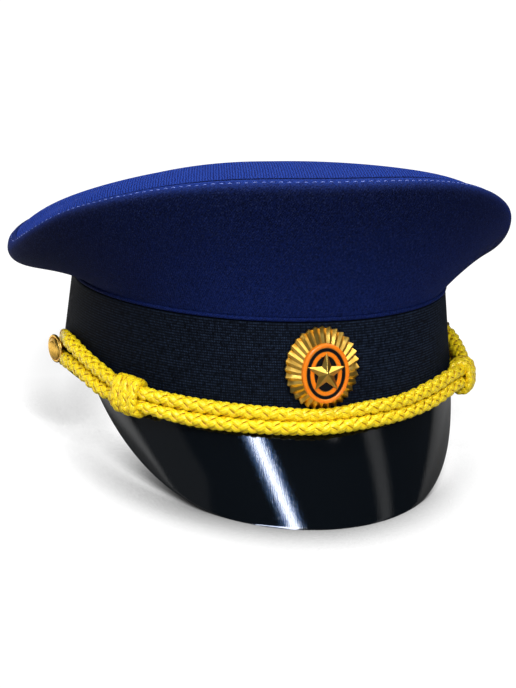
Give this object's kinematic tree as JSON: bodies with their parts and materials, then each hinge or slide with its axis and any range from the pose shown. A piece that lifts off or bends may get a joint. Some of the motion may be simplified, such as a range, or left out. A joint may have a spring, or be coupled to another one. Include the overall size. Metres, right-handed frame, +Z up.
{
  "type": "peaked cap",
  "caption": "Uniform cap with a flared cloth crown, ribbed band, glossy black peak, gold braided chin cord on side buttons and an oval cockade, resting on its peak and rear band edge.",
  "frame": {"origin": "middle of the footprint's bounding box, on the surface that the cap rests on", "axes": "+Z up, -Y towards the front of the cap, +X towards the wearer's left"},
  "size_m": [0.2312, 0.267, 0.1433],
  "materials": {
    "crown_cloth": "royal blue woollen twill",
    "band_ribbon": "blue-black ribbed ribbon",
    "peak_patent": "black patent gloss",
    "gold_braid": "lemon gold braided cord",
    "gilt_metal": "satin gilt stamping",
    "enamel": "orange and black enamel"
  },
  "bodies": {
    "root": {"crown_wall": "crown_cloth", "crown_top": "crown_cloth", "piping": "crown_cloth", "band": "band_ribbon", "peak": "peak_patent", "chin_cord": "gold_braid", "knot_left": "gold_braid", "knot_right": "gold_braid", "button_left": "gilt_metal", "button_right": "gilt_metal", "cockade_rays": "gilt_metal", "cockade_plaque": "enamel", "cockade_star": "gilt_metal"}
  },
  "joints": []
}
